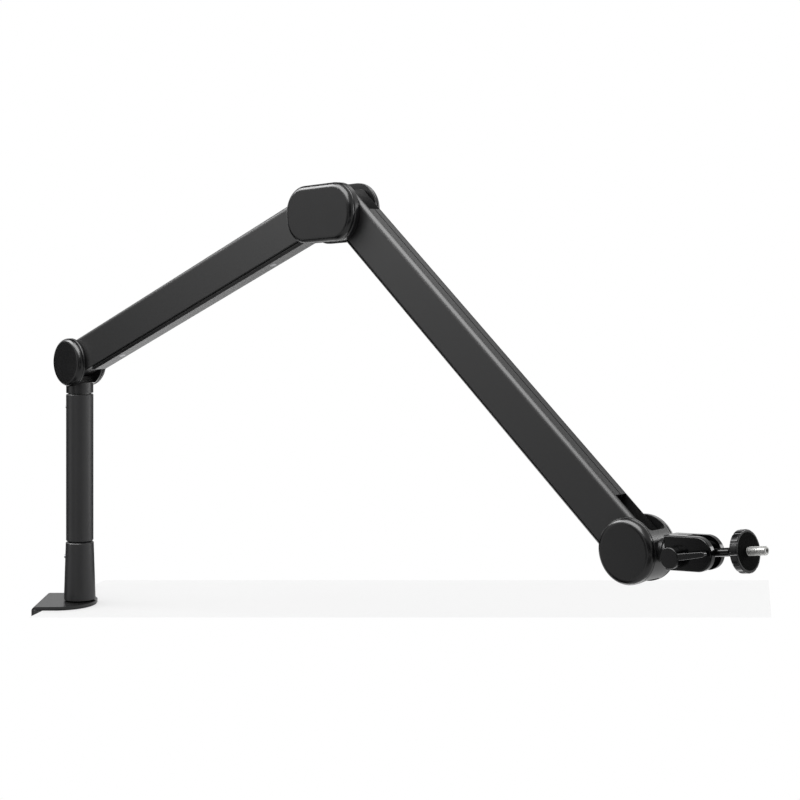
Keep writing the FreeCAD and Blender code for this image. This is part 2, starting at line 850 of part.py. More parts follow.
def elbow_cap():
    blank = rounded_slab(elbow_length, elbow_height, elbow_corner, cheek_outer, cap_outer)
    pocket = rounded_slab(elbow_spacing + 2 * elbow_pocket_end,
                          elbow_height - 2 * elbow_pocket_margin,
                          elbow_corner - elbow_pocket_margin,
                          cheek_outer - overrun, cap_inside)
    return far_cap(blank, pocket, Z_AXIS)


# Head yoke and ball socket, along X from the head's hinge

def socket_bolt(grow=0.0):
    return countersunk(socket_bolt_head_radius, socket_bolt_radius, socket_bolt_head_height,
                       washer_end + socket_bolt_grip - bridge_radius, X_AXIS,
                       X_AXIS * bridge_radius, grow)


def head_yoke():
    """A drum whose bridge faces away from the arm and carries the socket's boss."""
    drum = drum_blank().fuse(rod(boss_radius, drum_radius - boss_sink, boss_reach, X_AXIS))
    drum = drum.removeSplitter()
    reach = drum_radius + overrun
    far = drum_radius * 2
    top = polar(ORIGIN, far, head_bridge_top_angle)
    bottom = polar(ORIGIN, far, head_bridge_bottom_angle)
    corners = [ORIGIN, top, FreeCAD.Vector(-reach, 0, top.z),
               FreeCAD.Vector(-reach, 0, bottom.z), bottom, ORIGIN]
    outline = Part.Face(Part.makePolygon(corners))
    outline.translate(Y_AXIS * -cheek_inner)
    mouth = outline.extrude(Y_AXIS * (2 * cheek_inner))
    mouth = mouth.makeFillet(head_bridge_corner, edges_through(mouth, top) + edges_through(mouth, bottom))
    well = rod(bridge_radius, -cheek_inner, cheek_inner, Y_AXIS)
    return drum.cut([mouth.fuse(well), pin_hole(), socket_bolt(seat_fit)] + peg_holes(Z_AXIS))


def neck_washer():
    return ring(neck_washer_radius, socket_bolt_radius + run_fit, boss_reach, washer_end, X_AXIS)


lever_axis = FreeCAD.Vector(lever_reach, 0, -lever_drop)
ball_place = X_AXIS * ball_reach
jaw_boss_face = -socket_side - jaw_boss_height


def socket_body():
    """Two jaws on one base, slit so that the lever's screw can close them on the ball."""
    edges = [
        arc(ball_place, socket_half, -QUARTER_TURN, QUARTER_TURN),
        line(polar(ball_place, socket_half, QUARTER_TURN),
             FreeCAD.Vector(washer_end, 0, socket_half)),
        line(FreeCAD.Vector(washer_end, 0, socket_half),
             FreeCAD.Vector(washer_end, 0, -socket_half)),
        line(FreeCAD.Vector(washer_end, 0, -socket_half),
             polar(ball_place, socket_half, -QUARTER_TURN)),
    ]
    body = slab(edges, -socket_side, socket_side)
    body = body.makeFillet(socket_edge, side_rims(body, socket_side))
    body = body.fuse(rod(jaw_boss_radius, jaw_boss_face, 0, Y_AXIS, lever_axis)).removeSplitter()
    end = ball_reach + socket_half + overrun
    rise = (-socket_half - overrun, socket_half + overrun)
    slit = block((slit_start, end), (-slit_width / 2, slit_width / 2), rise)
    slot = block((ball_slot_start, end), (-ball_slot_width / 2, ball_slot_width / 2), rise)
    pocket = Part.makeSphere(ball_radius + run_fit, ball_place)
    hole = rod(lever_screw_radius + run_fit, jaw_boss_face - overrun, socket_side, Y_AXIS, lever_axis)
    nut_seat = regular_prism(jaw_hex_radius + seat_fit, nut_sides, socket_side - jaw_hex_height,
                             socket_side + overrun, lever_axis)
    bolt_hole = rod(socket_bolt_radius + run_fit, washer_end - overrun,
                    washer_end + socket_bolt_grip + face_fit, X_AXIS)
    return body.cut([slit, slot, pocket, hole, nut_seat, bolt_hole])


def jaw_hex_nut():
    nut = regular_prism(jaw_hex_radius, nut_sides, socket_side - jaw_hex_height, socket_side,
                        lever_axis)
    return nut.cut(rod(lever_screw_radius + run_fit, 0, socket_side + overrun, Y_AXIS, lever_axis))


# Lock lever, drawn about its own screw with the lever along X

hub_base = jaw_boss_face - face_fit
hub_face = hub_base - hub_height


def lock_lever():
    hub = rod(hub_radius, hub_face, hub_base, Y_AXIS)
    root = lever_root_width / 2
    tip = lever_tip_width / 2
    tip_centre = X_AXIS * (lever_length - tip)
    flank = math.degrees(math.asin((root - tip) / tip_centre.x))
    first = QUARTER_TURN - flank
    edges = [
        arc(tip_centre, tip, -first, first),
        line(polar(tip_centre, tip, first), polar(ORIGIN, root, first)),
        line(polar(ORIGIN, root, first), polar(ORIGIN, root, -first)),
        line(polar(ORIGIN, root, -first), polar(tip_centre, tip, -first)),
    ]
    outer = hub_face + lever_inset
    bar = slab(edges, outer, outer + lever_thickness)
    hub = hub.makeFillet(hub_edge, edges_at(hub, Y_AXIS, hub_face))
    bar = bar.makeFillet(lever_edge, edges_at(bar, Y_AXIS, outer))
    lever = hub.fuse(bar).removeSplitter()
    sink = rod(lever_screw_radius + seat_fit, hub_base - lever_screw_sink, hub_base + overrun, Y_AXIS)
    return lever.cut(sink)


def lever_screw():
    return rod(lever_screw_radius, hub_base - lever_screw_sink + seat_fit, socket_side - face_fit,
               Y_AXIS)


# Ball, stem, stud and lock wheel, along X from the ball's centre

wheel_end = wheel_start + wheel_thickness
flare_end = flare_start + flare_length
facing_start = wheel_end + facing_proud - facing_thickness
stud_start = wheel_start - stud_grip
stud_end = wheel_end + stud_length


def mount_ball():
    ball = Part.makeSphere(ball_radius)
    bore = rod(stem_pin_radius + run_fit, stem_pin_start - face_fit, ball_radius + overrun, X_AXIS)
    return ball.cut(bore)


def ball_stem():
    pin = rod(stem_pin_radius, stem_pin_start, ball_radius + face_fit, X_AXIS)
    neck = rod(stem_radius, ball_radius + face_fit, flare_start, X_AXIS)
    flare = taper(stem_radius, flare_radius, flare_start, flare_end, X_AXIS)
    collar = rod(flare_radius, flare_end, wheel_start, X_AXIS)
    thread = rod(stud_radius + seat_fit, stud_start, wheel_start + overrun, X_AXIS)
    return pin.fuse([neck, flare, collar]).removeSplitter().cut(thread)


def mic_stud():
    """A quarter-inch stud with a thread relief at the wheel and a dimpled, bevelled tip."""
    stud = rod(stud_radius, stud_start, stud_end, X_AXIS)
    stud = stud.makeChamfer(stud_edge, edges_at(stud, X_AXIS, stud_end))
    relief = ring(stud_radius + overrun, stud_relief_radius, wheel_end + facing_proud,
                  wheel_end + facing_proud + stud_relief_length, X_AXIS)
    dimple = rod(stud_dimple_radius, stud_end - stud_dimple_depth, stud_end + overrun, X_AXIS)
    return stud.cut([relief, dimple])


def lock_wheel():
    wheel = rod(wheel_radius, wheel_start, wheel_end, X_AXIS)
    rims = edges_at(wheel, X_AXIS, wheel_start) + edges_at(wheel, X_AXIS, wheel_end)
    wheel = wheel.makeFillet(wheel_edge, rims)
    reach = wheel_radius + wheel_notch_radius - wheel_notch_depth
    cuts = [rod(stud_radius + run_fit, wheel_start - overrun, wheel_end + overrun, X_AXIS),
            rod(facing_radius + seat_fit, facing_start, wheel_end + overrun, X_AXIS)]
    for index in range(wheel_notches):
        turn = index * math.tau / wheel_notches
        centre = FreeCAD.Vector(0, math.cos(turn), math.sin(turn)) * reach
        cuts.append(rod(wheel_notch_radius, wheel_start - overrun, wheel_end + overrun,
                        X_AXIS, centre))
    return wheel.cut(cuts)


def wheel_facing():
    return ring(facing_radius, stud_radius + run_fit, facing_start, wheel_end + facing_proud, X_AXIS)


# All pieces at rest

def clamp_pieces():
    return {
        "clamp_frame": clamp_frame(),
        "clamp_top_pad": top_pad(),
        "clamp_jaw_nut": jaw_nut(),
        "pressure_disc": pressure_disc(),
        "pressure_pad": grip_pad(),
        "clamp_screw": clamp_screw(),
        "screw_retaining_clip": retaining_clip(),
        "clamp_knob": clamp_knob(),
    }


def riser_pieces():
    screws = [collar_screw(place) for place in collar_screw_places()]
    return {
        "base_collar": base_collar(),
        "collar_screws": Part.makeCompound(screws),
        "collar_grub_screw": grub_screw(collar_grub_radius, plug_radius, collar_grub_end,
                                        collar_grub_height),
        "riser_plug": riser_plug(),
        "riser_tube": riser_tube(),
        "tube_grub_screw": grub_screw(tube_grub_radius, tube_bore, tube_grub_end, tube_grub_level),
        "swivel_bush": swivel_bush(),
    }


def swivel_pieces():
    return {
        "swivel_pin": swivel_pin(),
        "swivel_retaining_washer": swivel_washer(),
        "swivel_retaining_screw": swivel_screw(),
    }


def shoulder_pieces():
    cap = drum_cap()
    return {
        "shoulder_yoke": shoulder_yoke(),
        "shoulder_cap_near": mirrored(cap),
        "shoulder_cap_far": cap,
        "shoulder_hinge_pin": hinge_pin(),
        "shoulder_hinge_nut": hinge_nut(),
    }


def arm_pieces(name, length, keel, cover):
    return {
        name + "_beam": arm_beam(length, keel),
        name + "_cable_cover": channel_cover(*cover),
        name + "_hinge_blocks": hinge_blocks(length),
        name + "_hinge_bushes": hinge_bushes(length),
        name + "_friction_washers": friction_washers(length),
        name + "_block_screws": block_screws(length),
    }


def elbow_pieces():
    cap = elbow_cap()
    return {
        "elbow_frame": elbow_frame(),
        "elbow_cap_near": nearer(mirrored(cap), elbow_near_extra),
        "elbow_cap_far": cap,
        "elbow_hinge_pins": Part.makeCompound([hinge_pin(place, elbow_near_extra)
                                               for place in elbow_pins]),
        "elbow_hinge_nuts": Part.makeCompound([hinge_nut(place) for place in elbow_pins]),
    }


def head_pieces():
    cap = drum_cap()
    cap.rotate(ORIGIN, Y_AXIS, QUARTER_TURN)
    return {
        "head_yoke": head_yoke(),
        "head_cap_near": mirrored(cap),
        "head_cap_far": cap,
        "head_hinge_pin": hinge_pin(),
        "head_hinge_nut": hinge_nut(),
        "socket_bolt": socket_bolt(),
        "socket_neck_washer": neck_washer(),
        "socket_jaws": socket_body(),
        "socket_jaw_nut": jaw_hex_nut(),
    }


def lever_pieces():
    """The lever and its screw, turned to the lever's angle about its place on the socket."""
    pieces = {"lock_lever": lock_lever(), "lock_lever_screw": lever_screw()}
    for piece in pieces.values():
        piece.rotate(ORIGIN, Y_AXIS, -lever_angle)
        piece.translate(lever_axis)
    return pieces


def stem_pieces():
    return {
        "mount_ball": mount_ball(),
        "ball_stem": ball_stem(),
        "mic_stud": mic_stud(),
        "lock_wheel": lock_wheel(),
        "lock_wheel_facing": wheel_facing(),
    }


def swung(pieces, pitch, point):
    return {name: set_in_arm(piece, pitch, point) for name, piece in pieces.items()}


def all_pieces():
    lower = arm_pieces("lower_arm", lower_arm_length,
                       (keel_gap_shoulder, lower_arm_length - keel_gap_elbow),
                       (cover_gap_drum, lower_arm_length - cover_gap_elbow))
    upper = arm_pieces("upper_arm", upper_arm_length,
                       (keel_gap_elbow, upper_arm_length - keel_gap_head),
                       (cover_gap_elbow, upper_arm_length - cover_gap_drum))
    return {
        **clamp_pieces(),
        **riser_pieces(),
        **swung(swivel_pieces(), 0, ORIGIN),
        **swung(shoulder_pieces(), 0, shoulder),
        **swung(lower, lower_arm_tilt, shoulder),
        **swung(elbow_pieces(), elbow_tilt, elbow_middle),
        **swung(upper, upper_arm_tilt, elbow_high),
        **swung(head_pieces(), socket_tilt, head),
        **swung(lever_pieces(), socket_tilt, head),
        **swung(stem_pieces(), stem_tilt, ball_centre),
    }


def write_pieces():
    os.makedirs("parts", exist_ok=True)
    for name, piece in all_pieces().items():
        piece.exportStep(f"parts/{name}.step")
        print(name, len(piece.Solids), piece.isValid(), round(piece.Volume, 1))


write_pieces()
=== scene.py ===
import json
import math

import bmesh
import bpy
from mathutils import Matrix, Vector


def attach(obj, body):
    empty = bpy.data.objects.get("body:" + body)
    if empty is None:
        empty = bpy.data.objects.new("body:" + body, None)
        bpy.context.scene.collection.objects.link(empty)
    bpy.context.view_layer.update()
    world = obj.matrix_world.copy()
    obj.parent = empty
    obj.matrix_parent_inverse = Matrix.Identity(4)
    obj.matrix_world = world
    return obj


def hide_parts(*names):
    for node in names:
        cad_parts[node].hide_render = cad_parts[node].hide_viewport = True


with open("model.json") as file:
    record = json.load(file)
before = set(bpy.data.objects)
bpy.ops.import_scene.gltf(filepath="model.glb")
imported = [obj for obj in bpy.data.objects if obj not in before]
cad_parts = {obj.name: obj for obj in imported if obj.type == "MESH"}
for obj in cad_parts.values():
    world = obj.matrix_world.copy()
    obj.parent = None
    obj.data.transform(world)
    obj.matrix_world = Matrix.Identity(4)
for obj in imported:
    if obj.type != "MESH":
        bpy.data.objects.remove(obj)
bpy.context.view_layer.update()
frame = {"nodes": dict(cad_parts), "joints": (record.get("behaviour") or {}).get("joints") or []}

bl_info = {
    "name": "Microphone boom arm looks",
    "version": (1, 0, 0),
    "blender": (4, 5, 0),
    "location": "3D View > Sidebar > Boom arm",
    "description": "Finishes, threads and studio for a clamped microphone boom arm",
    "category": "Object",
}

NODES = frame["nodes"]
JOINTS = {joint["name"]: joint for joint in frame["joints"]}

# The two axes that threads run along, each with a point on it
STEM_AXIS = Vector(JOINTS["stem_spin"]["axis"]).normalized()
BALL_CENTRE = Vector(JOINTS["ball_tilt"]["pos_m"])
SCREW_AXIS = Vector((0, 0, 1))
SCREW_POINT = Vector(JOINTS["clamp_screw_turn"]["pos_m"])

MM = 0.001
SENSOR_WIDTH_MM = 36
WHITE = (1, 1, 1, 1)
BLACK = (0, 0, 0, 1)


def linear(hex_colour):
    """An sRGB hex colour as linear red, green and blue."""
    shares = [int(hex_colour[i:i + 2], 16) / 255 for i in (0, 2, 4)]
    return tuple(s / 12.92 if s <= 0.04045 else ((s + 0.055) / 1.055) ** 2.4 for s in shares)


def per_metre(millimetres):
    """Texture scale that gives features of this size, for coordinates in metres."""
    return 1000.0 / millimetres


class BoomFinishes(bpy.types.PropertyGroup):
    """Colours of the arm's finishes."""
    powder_coat: bpy.props.FloatVectorProperty(
        name="Powder coat", description="Riser tube and collar", subtype="COLOR",
        size=3, min=0, max=1, default=linear("242425"))
    black_coat: bpy.props.FloatVectorProperty(
        name="Black coat", description="Clamp, yokes and elbow frame", subtype="COLOR",
        size=3, min=0, max=1, default=linear("101011"))
    arm_coat: bpy.props.FloatVectorProperty(
        name="Arm coat", description="Powder coat of the two arm beams", subtype="COLOR",
        size=3, min=0, max=1, default=linear("0f0f10"))
    cap_plastic: bpy.props.FloatVectorProperty(
        name="Cap plastic", description="Moulded hinge caps", subtype="COLOR",
        size=3, min=0, max=1, default=linear("0b0b0c"))
    cover_plastic: bpy.props.FloatVectorProperty(
        name="Cover plastic", description="Extruded strips over the cable channels", subtype="COLOR",
        size=3, min=0, max=1, default=linear("151516"))
    gloss_black: bpy.props.FloatVectorProperty(
        name="Gloss black", description="Polished anodised ball mount", subtype="COLOR",
        size=3, min=0, max=1, default=linear("050506"))
    knob_plastic: bpy.props.FloatVectorProperty(
        name="Knob plastic", description="Lever, lock wheel and clamp knob", subtype="COLOR",
        size=3, min=0, max=1, default=linear("070708"))
    bright_steel: bpy.props.FloatVectorProperty(
        name="Bright steel", description="Turned microphone stud", subtype="COLOR",
        size=3, min=0, max=1, default=linear("9c9c9a"))
    plated_steel: bpy.props.FloatVectorProperty(
        name="Plated steel", description="Pins, nuts and screws", subtype="COLOR",
        size=3, min=0, max=1, default=linear("6d6d70"))
    cast_metal: bpy.props.FloatVectorProperty(
        name="Cast aluminium", description="Hinge blocks inside the arms and the riser's plug",
        subtype="COLOR", size=3, min=0, max=1, default=linear("1c1c1d"))
    rubber: bpy.props.FloatVectorProperty(
        name="Rubber", description="Clamp pads and the lock wheel's facing", subtype="COLOR",
        size=3, min=0, max=1, default=linear("060606"))
    # Painted shade: near-black for the set-in foot under the collar, standing in for the shadow line there.
    foot_painted_shade: bpy.props.FloatVectorProperty(
        name="Foot black", description="Set-in foot under the collar", subtype="COLOR",
        size=3, min=0, max=1, default=linear("040404"))
    bearing_plastic: bpy.props.FloatVectorProperty(
        name="Bearing plastic", description="Bushes and friction washers", subtype="COLOR",
        size=3, min=0, max=1, default=linear("0c0c0d"))


class BoomThreads(bpy.types.PropertyGroup):
    """Sizes of the two threads that show."""
    stud_radius: bpy.props.FloatProperty(
        name="Stud radius", description="Quarter-inch stud", default=3.175 * MM,
        min=2 * MM, max=8 * MM, precision=5, subtype="DISTANCE", unit="LENGTH")
    stud_pitch: bpy.props.FloatProperty(
        name="Stud pitch", description="Quarter-inch stud, 20 threads to the inch", default=1.27 * MM,
        min=0.5 * MM, max=3 * MM, precision=5, subtype="DISTANCE", unit="LENGTH")
    stud_depth: bpy.props.FloatProperty(
        name="Stud thread depth", description="Crest to root, drawn shallow so that it looks calm",
        default=0.35 * MM, min=0.1 * MM, max=1 * MM, precision=5, subtype="DISTANCE", unit="LENGTH")
    stud_edge: bpy.props.FloatProperty(
        name="Stud bevel", description="Bevel at the stud's tip", default=0.7 * MM,
        min=0.1 * MM, max=1.5 * MM, precision=5, subtype="DISTANCE", unit="LENGTH")
    dimple_radius: bpy.props.FloatProperty(
        name="Dimple radius", description="Dimple in the stud's tip", default=1.5 * MM,
        min=0.3 * MM, max=2 * MM, precision=5, subtype="DISTANCE", unit="LENGTH")
    dimple_depth: bpy.props.FloatProperty(
        name="Dimple depth", description="Dimple in the stud's tip", default=1.2 * MM,
        min=0.1 * MM, max=3 * MM, precision=5, subtype="DISTANCE", unit="LENGTH")
    screw_radius: bpy.props.FloatProperty(
        name="Screw radius", description="M10 clamping screw", default=5 * MM,
        min=3 * MM, max=8 * MM, precision=5, subtype="DISTANCE", unit="LENGTH")
    screw_pitch: bpy.props.FloatProperty(
        name="Screw pitch", description="M10 coarse clamping screw", default=1.5 * MM,
        min=0.5 * MM, max=3 * MM, precision=5, subtype="DISTANCE", unit="LENGTH")
    screw_depth: bpy.props.FloatProperty(
        name="Screw thread depth", description="Crest to root of the screw's thread", default=0.8 * MM,
        min=0.1 * MM, max=1.5 * MM, precision=5, subtype="DISTANCE", unit="LENGTH")
    neck_radius: bpy.props.FloatProperty(
        name="Screw neck radius", description="Plain neck that turns in the pressure foot", default=3.5 * MM,
        min=2 * MM, max=4 * MM, precision=5, subtype="DISTANCE", unit="LENGTH")


class BoomStage(bpy.types.PropertyGroup):
    """Camera, floor and surround."""
    camera_place: bpy.props.FloatVectorProperty(
        name="Camera place", description="A level camera in front of the arm", subtype="TRANSLATION",
        unit="LENGTH", size=3, precision=4, default=(0.3237, -1.6679, 0.342))
    focal_length: bpy.props.FloatProperty(
        name="Focal length", description="On a 36 mm wide sensor", default=74.25, min=10, max=300,
        unit="CAMERA")
    camera_drop: bpy.props.FloatProperty(
        name="Frame shift", default=0.16875, min=0, max=0.5,
        description="How far the frame drops below the lens axis, as a share of its width")
    floor_colour: bpy.props.FloatVectorProperty(
        name="Floor", description="Pale top that the clamp grips", subtype="COLOR", size=3, min=0, max=1,
        default=linear("f8f8f8"))
    floor_low: bpy.props.FloatVectorProperty(
        name="Floor corner", description="Near left corner of the top, at the gripped edge", subtype="XYZ",
        unit="LENGTH", size=2, precision=4, default=(-0.037, -0.065))
    floor_size: bpy.props.FloatVectorProperty(
        name="Floor size", description="Width and depth of the top", subtype="XYZ",
        unit="LENGTH", size=2, precision=4, default=(0.7215, 0.189))
    floor_slant: bpy.props.FloatProperty(
        name="Floor slant", description="How far its sides lean right for each metre of depth", default=0.209,
        min=-1, max=1)
    floor_evenness: bpy.props.FloatProperty(
        name="Floor evenness", description="Share of the floor's own tone that shadows leave as it is",
        default=0.6, min=0, max=1, subtype="FACTOR")
    surround_light: bpy.props.FloatProperty(
        name="Surround light", description="Strength of the white surround as light",
        default=0.9, min=0, max=1)


def add_node(tree, kind, inputs=None, **settings):
    """Add one shader node, set its properties and fill or link its sockets."""
    node = tree.nodes.new(kind)
    for name, value in settings.items():
        setattr(node, name, value)
    for socket, value in (inputs or {}).items():
        if isinstance(value, bpy.types.NodeSocket):
            tree.links.new(value, node.inputs[socket])
        else:
            node.inputs[socket].default_value = value
    return node


def start_material(name):
    """An empty material with its shader, and the object's own coordinates."""
    material = bpy.data.materials.new(name)
    material.use_nodes = True
    tree = material.node_tree
    tree.nodes.clear()
    shader = add_node(tree, "ShaderNodeBsdfPrincipled")
    add_node(tree, "ShaderNodeOutputMaterial", {"Surface": shader.outputs["BSDF"]})
    coords = add_node(tree, "ShaderNodeTexCoord").outputs["Object"]
    return material, tree, shader, coords


def vary_colour(tree, shader, factor, colour, spread):
    """Drift the colour a little lighter and darker with a pattern."""
    ramp = add_node(tree, "ShaderNodeValToRGB", {"Fac": factor})
    ramp.color_ramp.elements[0].color = (*[c * (1 - spread) for c in colour], 1)
    ramp.color_ramp.elements[1].color = (*[min(1, c * (1 + spread)) for c in colour], 1)
    tree.links.new(ramp.outputs["Color"], shader.inputs["Base Color"])


def vary_roughness(tree, shader, factor, low, high):
    """Drift the roughness between two values with a pattern."""
    spread = add_node(tree, "ShaderNodeMapRange", {"Value": factor, "To Min": low, "To Max": high})
    tree.links.new(spread.outputs["Result"], shader.inputs["Roughness"])


def raise_grain(tree, shader, height, depth_mm, strength):
    """Let a pattern stand up from the surface a little."""
    bump = add_node(tree, "ShaderNodeBump", {
        "Height": height, "Distance": depth_mm * MM, "Strength": strength})
    tree.links.new(bump.outputs["Normal"], shader.inputs["Normal"])


def powder_coated(name, colour, low, high, specular):
    # Polyester powder coat baked on metal: satin, with a fine orange-peel skin. The real 0.3 mm
    # grain is too fine to show here, so it is drawn at 0.8 mm.
    material, tree, shader, coords = start_material(name)
    grain = add_node(tree, "ShaderNodeTexNoise", {"Vector": coords, "Scale": per_metre(0.8), "Detail": 3.0})
    drift = add_node(tree, "ShaderNodeTexNoise", {"Vector": coords, "Scale": per_metre(60), "Detail": 4.0})
    vary_colour(tree, shader, drift.outputs["Fac"], colour, spread=0.12)
    vary_roughness(tree, shader, grain.outputs["Fac"], low, high)
    raise_grain(tree, shader, grain.outputs["Fac"], depth_mm=0.05, strength=0.25)
    shader.inputs["Specular IOR Level"].default_value = specular
    return material


def painted_foot_shade(colour):
    # Painted shade: matt black paint in the set-in foot under the collar, so that it shows as a thin dark
    # shadow line;
    # nearly without shine, with a 1.5 mm unevenness.
    material, tree, shader, coords = start_material("painted_shade_foot")
    patch = add_node(tree, "ShaderNodeTexNoise", {"Vector": coords, "Scale": per_metre(1.5), "Detail": 3.0})
    vary_colour(tree, shader, patch.outputs["Fac"], colour, spread=0.2)
    vary_roughness(tree, shader, patch.outputs["Fac"], low=0.6, high=0.8)
    shader.inputs["Specular IOR Level"].default_value = 0.02
    return material


def moulded_cap_plastic(colour):
    # Black ABS from a spark-eroded mould: satin, with a fine pebble, drawn 0.7 mm across, that
    # softens highlights on the rounded edges, and a faint drift of sheen from handling.
    material, tree, shader, coords = start_material("moulded_abs_cap")
    pebble = add_node(tree, "ShaderNodeTexVoronoi", {"Vector": coords, "Scale": per_metre(0.7)},
                      feature="SMOOTH_F1")
    drift = add_node(tree, "ShaderNodeTexNoise", {"Vector": coords, "Scale": per_metre(25), "Detail": 4.0})
    vary_colour(tree, shader, drift.outputs["Fac"], colour, spread=0.15)
    vary_roughness(tree, shader, drift.outputs["Fac"], low=0.22, high=0.3)
    raise_grain(tree, shader, pebble.outputs["Distance"], depth_mm=0.02, strength=0.15)
    shader.inputs["IOR"].default_value = 1.39
    return material


def extruded_cover_plastic(colour, axis):
    # Extruded PVC strip: matt, with die lines along its whole length, drawn 0.9 mm apart to show.
    material, tree, shader, coords = start_material("extruded_pvc_cover")
    along = add_node(tree, "ShaderNodeMapping", {
        "Vector": coords, "Rotation": axis.to_track_quat("X", "Z").inverted().to_euler(),
        "Scale": (0.02, 1, 1)}, vector_type="POINT")
    lines = add_node(tree, "ShaderNodeTexNoise", {"Vector": along.outputs["Vector"],
                                                  "Scale": per_metre(0.9), "Detail": 3.0})
    vary_colour(tree, shader, lines.outputs["Fac"], colour, spread=0.2)
    vary_roughness(tree, shader, lines.outputs["Fac"], low=0.38, high=0.52)
    raise_grain(tree, shader, lines.outputs["Fac"], depth_mm=0.03, strength=0.12)
    shader.inputs["Specular IOR Level"].default_value = 0.3
    return material


def anodised_gloss(colour):
    # Polished and black-anodised aluminium: its dyed oxide skin gives a near-mirror gloss over black,
    # with a faint polishing haze about 6 mm across.
    material, tree, shader, coords = start_material("black_anodised_polish")
    haze = add_node(tree, "ShaderNodeTexNoise", {"Vector": coords, "Scale": per_metre(6), "Detail": 5.0})
    vary_colour(tree, shader, haze.outputs["Fac"], colour, spread=0.3)
    vary_roughness(tree, shader, haze.outputs["Fac"], low=0.1, high=0.2)
    raise_grain(tree, shader, haze.outputs["Fac"], depth_mm=0.02, strength=0.05)
    shader.inputs["Specular IOR Level"].default_value = 0.21
    return material


def moulded_knob_plastic(colour):
    # Glossy black ABS knobs: polished mould, slight flow ripple 8 mm long.
    material, tree, shader, coords = start_material("moulded_abs_gloss")
    ripple = add_node(tree, "ShaderNodeTexNoise", {"Vector": coords, "Scale": per_metre(8), "Detail": 2.0})
    vary_colour(tree, shader, ripple.outputs["Fac"], colour, spread=0.2)
    vary_roughness(tree, shader, ripple.outputs["Fac"], low=0.16, high=0.26)
    raise_grain(tree, shader, ripple.outputs["Fac"], depth_mm=0.05, strength=0.04)
    shader.inputs["IOR"].default_value = 1.35
    return material


def turned_steel(name, colour, axis, low, high):
    # Turned and plated steel: fine tool rings round the axis, drawn 0.4 mm apart so that they show.
    material, tree, shader, coords = start_material(name)
    turned = add_node(tree, "ShaderNodeMapping", {
        "Vector": coords, "Rotation": axis.to_track_quat("X", "Z").inverted().to_euler(),
        "Scale": (1, 0.05, 0.05)}, vector_type="POINT")
    rings = add_node(tree, "ShaderNodeTexNoise", {"Vector": turned.outputs["Vector"],
                                                  "Scale": per_metre(0.4), "Detail": 2.0})
    vary_colour(tree, shader, rings.outputs["Fac"], colour, spread=0.08)
    vary_roughness(tree, shader, rings.outputs["Fac"], low, high)
    raise_grain(tree, shader, rings.outputs["Fac"], depth_mm=0.01, strength=0.1)
    shader.inputs["Metallic"].default_value = 1.0
    return material


def cast_aluminium(colour):
    # Die-cast aluminium, black chromated: dull dark metal with a sandy skin about 1 mm coarse.
    material, tree, shader, coords = start_material("die_cast_aluminium")
    sand = add_node(tree, "ShaderNodeTexNoise", {"Vector": coords, "Scale": per_metre(1.0), "Detail": 6.0})
    vary_colour(tree, shader, sand.outputs["Fac"], colour, spread=0.12)
    vary_roughness(tree, shader, sand.outputs["Fac"], low=0.4, high=0.55)
    raise_grain(tree, shader, sand.outputs["Fac"], depth_mm=0.05, strength=0.3)
    shader.inputs["Metallic"].default_value = 1.0
    return material


def pad_rubber(colour):
    # Moulded black rubber: matt, dusty in its 1.5 mm texture.
    material, tree, shader, coords = start_material("moulded_rubber_pad")
    dust = add_node(tree, "ShaderNodeTexNoise", {"Vector": coords, "Scale": per_metre(1.5), "Detail": 5.0})
    vary_colour(tree, shader, dust.outputs["Fac"], colour, spread=0.3)
    vary_roughness(tree, shader, dust.outputs["Fac"], low=0.65, high=0.85)
    raise_grain(tree, shader, dust.outputs["Fac"], depth_mm=0.06, strength=0.4)
    shader.inputs["Specular IOR Level"].default_value = 0.02
    return material


def bearing_plastic(colour):
    # Acetal bearing plastic: black, waxy and slightly glossy, with a 3 mm cloudiness.
    material, tree, shader, coords = start_material("acetal_bearing")
    cloud = add_node(tree, "ShaderNodeTexNoise", {"Vector": coords, "Scale": per_metre(3), "Detail": 3.0})
    vary_colour(tree, shader, cloud.outputs["Fac"], colour, spread=0.15)
    vary_roughness(tree, shader, cloud.outputs["Fac"], low=0.3, high=0.4)
    raise_grain(tree, shader, cloud.outputs["Fac"], depth_mm=0.02, strength=0.05)
    return material


def coat(names, material):
    """Give CAD nodes this material in place of their plain one."""
    for name in names:
        slots = NODES[name].data.materials
        slots.clear()
        slots.append(material)


def arm_axis(arm):
    """The direction along an arm at rest, from its first hinge to its second."""
    ends = {"lower_arm": ("shoulder_hinge", "elbow_lower_hinge"),
            "upper_arm": ("elbow_upper_hinge", "head_hinge")}[arm]
    first, second = [Vector(JOINTS[name]["pos_m"]) for name in ends]
    return (second - first).normalized()


def reach_along(node, point, axis):
    """How far a CAD node reaches along an axis from a point, at its two ends."""
    places = [(vert.co - point).dot(axis) for vert in NODES[node].data.vertices]
    return min(places), max(places)


def outline_radius(outline, place):
    """The radius at one place along a turned outline of (place, radius) corners."""
    for (low, low_radius), (high, high_radius) in zip(outline, outline[1:]):
        if place <= high:
            share = max(0, place - low) / (high - low)
            return low_radius + (high_radius - low_radius) * share
    return outline[-1][1]


def everything(shape):
    """All the vertices, edges and faces of a shape."""
    return shape.verts[:] + shape.edges[:] + shape.faces[:]


